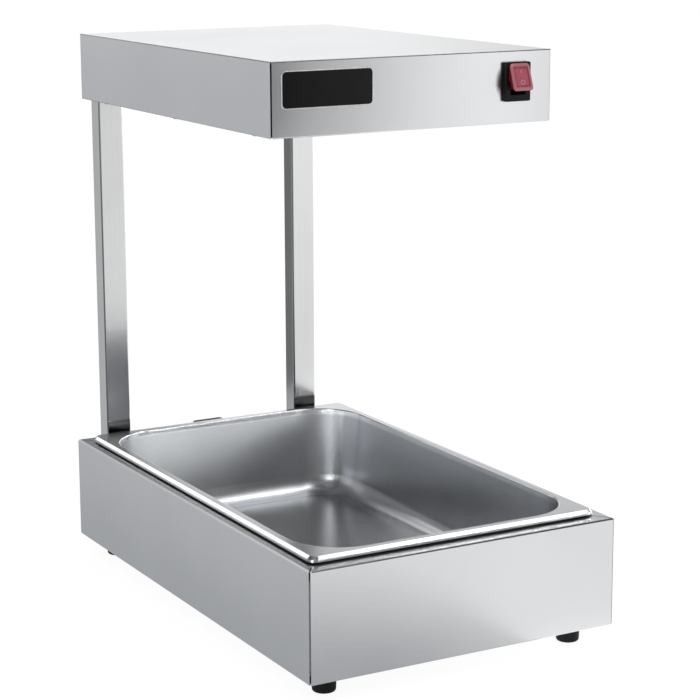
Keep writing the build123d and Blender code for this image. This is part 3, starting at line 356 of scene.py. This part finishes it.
def rocker_plastic(name):
    """Red rocker under a glossy skin: paler bevelled borders as a painted highlight, a dark groove inside
    them and deep red sides as painted shade.
    """
    finish, graph = new_finish(name)
    place = graph.place()
    press = next(joint for joint in frame["joints"] if joint["name"] == "rocker_press")
    pivot_x, pivot_y, pivot_z = press["pos_m"]
    tilt = radians(press["range_deg"][1] / 2)
    x, y, z = graph.split(place)
    across = abs(x - pivot_x) / rocker_half_wide
    along = abs((y - pivot_y) * sin(tilt) + (z - pivot_z) * cos(tilt)) / rocker_half_tall
    outward = (pivot_y - y) * cos(tilt) + (z - pivot_z) * sin(tilt)
    reach = across.most(along)
    border = reach.smooth(0.68, 0.80)
    groove = reach.smooth(0.62, 0.68) * (1 - reach.smooth(0.70, 0.77))
    swirl = graph.noise(place, scale=120.0)
    face = graph.blend(swirl.smooth(*noise_middle), (0.51, 0.10, 0.15, 1), (0.58, 0.125, 0.18, 1))
    # Painted highlight on the paler borders, and painted shade in the dark groove line inside them
    face = graph.blend(border * 0.75, face, (0.54, 0.20, 0.23, 1))
    face = graph.blend(groove * 0.55, face, (0.12, 0.02, 0.035, 1))
    # Painted shade on the rocker's deep red sides
    colour = graph.blend(outward.smooth(*rocker_face_out), (0.20, 0.006, 0.014, 1), face)
    surface(graph, Base_Color=colour, Roughness=0.24 + vary(swirl, 0.06),
            Coat_Weight=0.3, Coat_Roughness=0.1, Specular_IOR_Level=0.6,
            Normal=graph.bump(swirl, 0.00001))
    return finish


finishes = {
    "satin_steel": sheet_steel("satin_steel", level=0.85, blue=1.03, rough=0.25,
                               grain=0.0000003, wave=0.0010),
    "upright_steel": polished_tube("upright_steel", level=0.80, rough=0.16),
    "pan_steel": pressed_steel("pan_steel", level=0.56, rough=0.25, rim_level=0.82, rim_rough=0.20),
    "reflector_metal": plain_metal("reflector_metal", (0.78, 0.78, 0.79), 0.16, scale=30.0),
    "element_sheath": heated_sheath("element_sheath"),
    "guard_wire": plain_metal("guard_wire", (0.62, 0.62, 0.63), 0.22),
    "plated_steel": plain_metal("plated_steel", (0.60, 0.60, 0.61), 0.26),
    "contact_brass": plain_metal("contact_brass", (0.68, 0.50, 0.22), 0.3),
    "black_rubber": moulded("black_rubber", (0.008, 0.008, 0.009), 0.6, specular=0.25),
    "black_plastic": moulded("black_plastic", (0.007, 0.007, 0.008), 0.42, specular=0.22),
    "block_plastic": moulded("block_plastic", (0.62, 0.60, 0.55), 0.45, spread=0.06),
    "cable_jacket": moulded("cable_jacket", (0.02, 0.02, 0.021), 0.5),
    "lead_jacket": moulded("lead_jacket", (0.55, 0.53, 0.48), 0.55, spread=0.08),
    "rocker_red": rocker_plastic("rocker_red"),
    "mark_white": moulded("mark_white", (0.56, 0.42, 0.44), 0.4, spread=0.04),
    "badge_bright": plain_metal("badge_bright", (0.86, 0.86, 0.87), 0.2, scale=60.0, metallic=0.6),
    "badge_black": moulded("badge_black", (0.007, 0.007, 0.008), 0.2, scale=500.0,
                           bump=0.000004, specular=0.25),
}

for node in nodes.values():
    for slot, used in enumerate(node.data.materials):
        node.data.materials[slot] = finishes[used.name.split(".")[0]]

# Studio: a pale floor, white surroundings, soft boxes, and dim cards that only reflections see.
mirror_rays = ("Is Glossy Ray", "Is Transmission Ray")
seen_rays = ("Is Camera Ray",) + mirror_rays


def light_paths(graph, kinds):
    """1 for a ray of any of these kinds, 0 for the others."""
    rays = [graph.node("ShaderNodeLightPath", None, None, kind) for kind in kinds]
    any_ray = rays[0]
    for ray in rays[1:]:
        any_ray = any_ray.most(ray)
    return any_ray


def add_plane(name, centre, half_wide, half_tall, standing=False):
    turn = Matrix.Rotation(radians(90 if standing else 0), 4, "X")
    spot = Matrix.Translation(centre) @ turn @ Matrix.Diagonal((half_wide, half_tall, 1, 1))
    shape = bmesh.new()
    bmesh.ops.create_grid(shape, x_segments=1, y_segments=1, size=1.0, matrix=spot)
    mesh = bpy.data.meshes.new(name)
    shape.to_mesh(mesh)
    shape.free()
    plane = bpy.data.objects.new(name, mesh)
    bpy.context.scene.collection.objects.link(plane)
    return plane


floor = add_plane("studio_floor", (0, 0, 0), 40, 40)
floor_paint, graph = new_finish("studio_floor")
shown = light_paths(graph, seen_rays)
matt = graph.node("ShaderNodeBsdfDiffuse", None, {"Color": grey(0.8)})
bright = graph.node("ShaderNodeEmission", None, {"Color": grey(1.0), "Strength": 1.17})
mixed = graph.node("ShaderNodeMixShader", None, {0: shown * 0.78, 1: matt, 2: bright})
graph.node("ShaderNodeOutputMaterial", None, {"Surface": mixed})
floor.data.materials.append(floor_paint)


def dim_card(card, level, shade):
    """A dim card with soft borders, for reflections only. shade gives how much of it shows, 0 to 1."""
    paint, graph = new_finish(card.name)
    clear = graph.node("ShaderNodeBsdfTransparent")
    dim = graph.node("ShaderNodeEmission", None, {"Color": grey(level, 1.06), "Strength": 1.0})
    amount = shade(graph, graph.place())
    mixed = graph.node("ShaderNodeMixShader", None, {0: amount, 1: clear, 2: dim})
    graph.node("ShaderNodeOutputMaterial", None, {"Surface": mixed})
    card.data.materials.append(paint)
    card.visible_camera = False
    card.visible_diffuse = False
    card.visible_shadow = False
    card.visible_transmission = False


def left_shade(graph, place):
    """Left of the station: the part of the floor that left-hand faces mirror."""
    x, y = graph.split(place, "XY")
    left = x * -1
    return left.smooth(-0.3, 0.1) * y.smooth(-0.9, -0.2) * (0.98 - left.smooth(0.2, 0.38) * 0.14)


def front_shade(graph, place):
    """Close in front: the base's front mirrors it, darker towards the left."""
    x, y = graph.split(place, "XY")
    ahead = y * -1
    near = ahead.smooth(0.25, 0.4)
    far = ahead.smooth(0.7, 3.0)
    close_level = 0.2
    far_level = 0.04 + (1 - (x / ahead).smooth(0.42, 0.55)) * 0.24
    return near * (close_level * (1 - far) + far_level * far)


def flag_shade(graph, place):
    """A flag in front, above what the uprights mirror: the hood's front fades into it towards the left."""
    x, z = graph.split(place, "XZ")
    left = (1 - x.smooth(-0.02, 0.26)) * 0.55 + (1 - x.smooth(-0.06, 0.03)) * 0.4
    right = x.smooth(0.28, 0.36) * 0.25
    return (left + right) * z.smooth(0.45, 0.47) * (1 - z.smooth(0.65, 0.75))


def behind_shade(graph, place):
    """Close behind the station: only the right upright's inner face mirrors it."""
    x, z = graph.split(place, "XZ")
    left = x * -1
    return left.smooth(-0.3, 0.0) * (1 - left.smooth(0.24, 0.28)) * (1 - z.smooth(0.5, 0.6)) * 0.9


left_card = add_plane("left_floor_card", (-5.9, 6.5, 0.0008), 6, 8)
front_card = add_plane("front_floor_card", (0, -6.2, 0.0012), 8, 6)
front_flag = add_plane("front_flag", (0.05, -0.45, 0.6), 0.4, 0.16, standing=True)
behind_card = add_plane("behind_card", (0.0, 0.8, 0.32), 0.4, 0.3, standing=True)
dim_card(left_card, 0.375, left_shade)
dim_card(front_card, 0.05, front_shade)
dim_card(front_flag, 0.03, flag_shade)
dim_card(behind_card, 0.12, behind_shade)

open_spread = 180


def soft_box(name, at, to, wide, tall, level, spread=open_spread, lit=()):
    """A rectangular lamp of the given radiance that faces a point, with a grid if its spread is narrow.

    lit names the nodes that it lights, if it is flagged off the others.
    """
    lamp = bpy.data.lights.new(name, "AREA")
    lamp.shape = "RECTANGLE"
    lamp.size = wide
    lamp.size_y = tall
    beam = 1.0 if spread == open_spread else radians(spread / 2) ** 2 / 3
    lamp.energy = level * pi * beam * wide * tall
    lamp.spread = radians(spread)
    holder = bpy.data.objects.new(name, lamp)
    bpy.context.scene.collection.objects.link(holder)
    holder.location = at
    holder.rotation_euler = (Vector(to) - Vector(at)).to_track_quat("-Z", "Y").to_euler()
    if lit:
        reached = bpy.data.collections.new(name)
        for piece in lit:
            reached.objects.link(nodes[piece])
        holder.light_linking.receiver_collection = reached


pan_only = ["food_pan"]
soft_box("back_soft_box", at=(-0.35, 1.31, 0.84), to=(0.12, 0, 0.05),
         wide=1.0, tall=0.6, level=1.4, lit=pan_only)
soft_box("rim_soft_box", at=(1.27, -1.01, 2.16), to=(0, -0.275, 0.137),
         wide=1.0, tall=1.0, level=4.0, spread=14, lit=pan_only)
soft_box("strip_soft_box", at=(0.9, -0.47, 2.4), to=(0, 0, 0.1),
         wide=2.4, tall=0.25, level=4.0)
soft_box("right_soft_box", at=(3.4, 0.5, 0.5), to=(0, 0, 0.12),
         wide=2.2, tall=0.6, level=5.5)
soft_box("wall_soft_box", at=(0.46, -1.62, 0.33), to=(-0.21, 0.26, 0.10),
         wide=0.5, tall=0.24, level=27.0, spread=14, lit=pan_only)
soft_box("nook_soft_box", at=(1.15, -1.28, 0.42), to=(-0.16, 0.25, 0.10),
         wide=0.6, tall=0.4, level=30.0, spread=12, lit=pan_only)
soft_box("corner_soft_box", at=(2.8, -1.5, 1.14), to=(-0.1, 0.1, 0.1),
         wide=1.4, tall=0.8, level=15.0, spread=16, lit=pan_only)
soft_box("fold_soft_box", at=(0.99, -0.37, 1.69), to=(0, 0.22, 0.05),
         wide=0.8, tall=1.6, level=0.8, lit=pan_only)
soft_box("floor_soft_box", at=(1.25, 2.37, 1.02), to=(-0.1, -0.12, 0.04),
         wide=0.3, tall=0.12, level=1.6, spread=5, lit=pan_only)
soft_box("left_soft_box", at=(-3.2, -1.8, 1.1), to=(0, 0, 0.12),
         wide=1.2, tall=1.9, level=3.0)

# Surroundings: white where they are seen, and graded by direction where a surface mirrors them
world = bpy.data.worlds.new("studio")
bpy.context.scene.world = world
world.use_nodes = True
world.node_tree.nodes.clear()
graph = Graph(world.node_tree)
shown = light_paths(graph, seen_rays)
mirrored = light_paths(graph, mirror_rays)
right, back, rise = graph.split(graph.node("ShaderNodeTexCoord", None, None, "Generated"))
horizon = 1 - rise.smooth(0.19, 0.31)
middle = 1 - rise.smooth(0.30, 0.45)
zenith = rise.smooth(0.42, 0.6)
leftward = (right * -1).smooth(0.05, 0.35) * back.smooth(-0.3, 0.2)
front_band = rise.smooth(0.10, 0.18) * (1 - rise.smooth(0.32, 0.46))
frontward = (back * -1).smooth(0.45, 0.75) * front_band
right_of_back = (right / back.most(0.05)).smooth(0.56, 0.75)
rightward = right_of_back * back.smooth(0.2, 0.4) * (1 - rise.smooth(0.1, 0.16))
layers = 0.14 + zenith * 0.16 + middle * 0.31 + horizon * 0.74
ceiling = layers * (1 - leftward * 0.69) * (1 - frontward * 0.8) * (1 - rightward * 0.6)
strength = 0.55 + shown * 0.45 - mirrored * (1 - ceiling)
backdrop = graph.node("ShaderNodeBackground", None, {"Color": grey(1.0), "Strength": strength})
graph.node("ShaderNodeOutputWorld", None, {"Surface": backdrop})

# Camera, at the photograph's viewing angle: metres, degrees and millimetres
camera_place = (-1.05692, -1.94802, 0.74868)
camera_heading = -29.246
camera_dip = 12.235
camera_roll = -0.2054
lens = bpy.data.cameras.new("camera")
lens.sensor_fit = "HORIZONTAL"
lens.sensor_width = 36.0
lens.lens = 109.707
lens.clip_end = 200.0
camera = bpy.data.objects.new("camera", lens)
bpy.context.scene.collection.objects.link(camera)
camera.matrix_world = (Matrix.Translation(camera_place)
                       @ Matrix.Rotation(radians(camera_heading), 4, "Z")
                       @ Matrix.Rotation(radians(90 - camera_dip), 4, "X")
                       @ Matrix.Rotation(radians(camera_roll), 4, "Z"))
bpy.context.scene.camera = camera
bpy.context.scene.view_settings.view_transform = "Standard"
